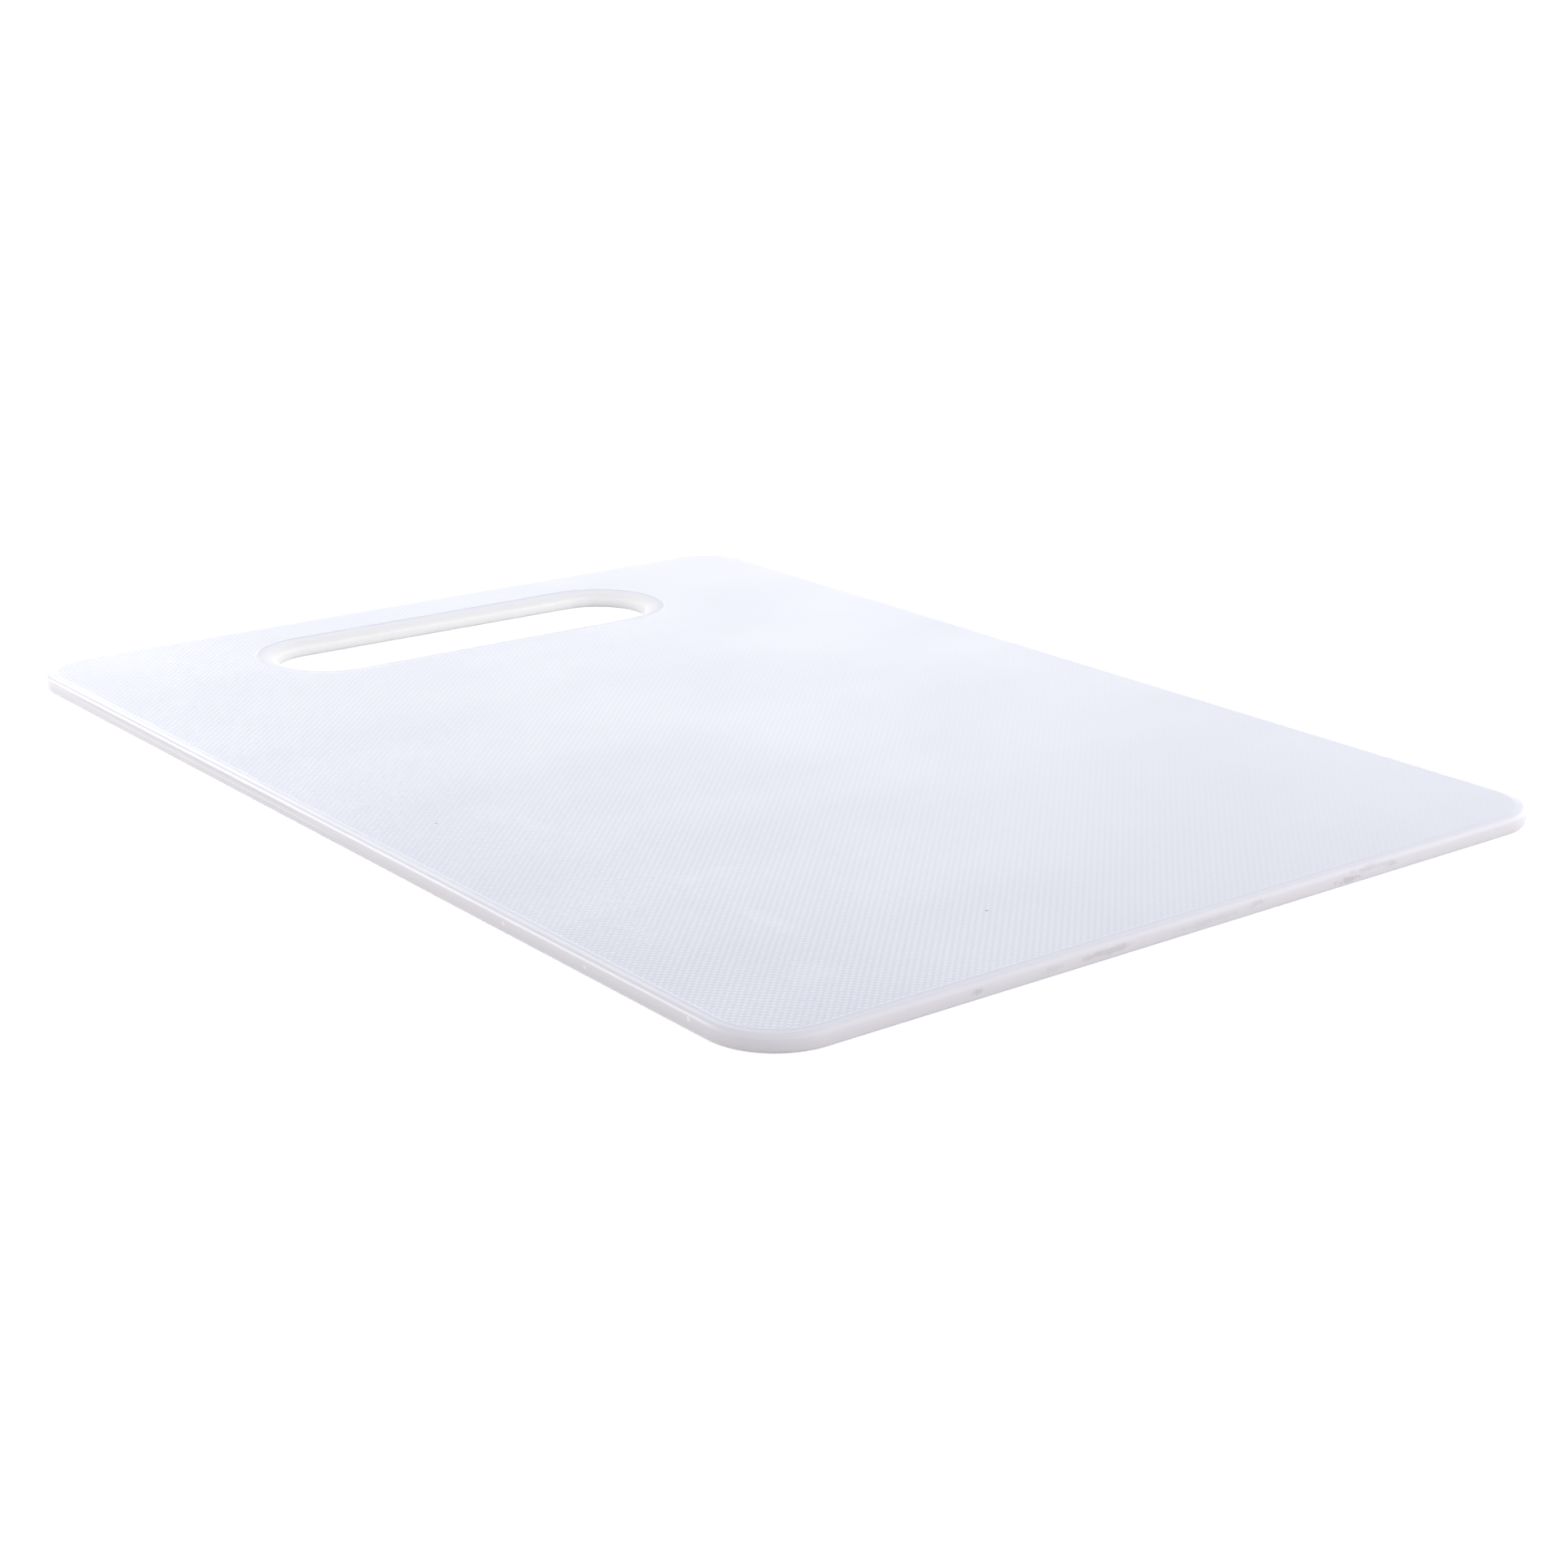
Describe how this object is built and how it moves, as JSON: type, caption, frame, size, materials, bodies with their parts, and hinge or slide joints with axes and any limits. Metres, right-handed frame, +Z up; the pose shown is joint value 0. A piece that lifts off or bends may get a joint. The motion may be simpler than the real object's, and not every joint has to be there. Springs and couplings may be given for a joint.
{
  "type": "cutting board",
  "caption": "Thin rounded-rectangle plastic cutting board with a long hand slot at one end, soft slot lips and grained cutting faces.",
  "frame": {"origin": "middle of the board's underside, on the surface it lies on", "axes": "+X along the board, away from the hand slot; +Y across the board; +Z up through its thickness"},
  "size_m": [0.35, 0.25, 0.0045],
  "materials": {
    "white_plastic": "satin, with a fine linen grain on both faces"
  },
  "bodies": {
    "root": {"board": "white_plastic"}
  },
  "joints": []
}
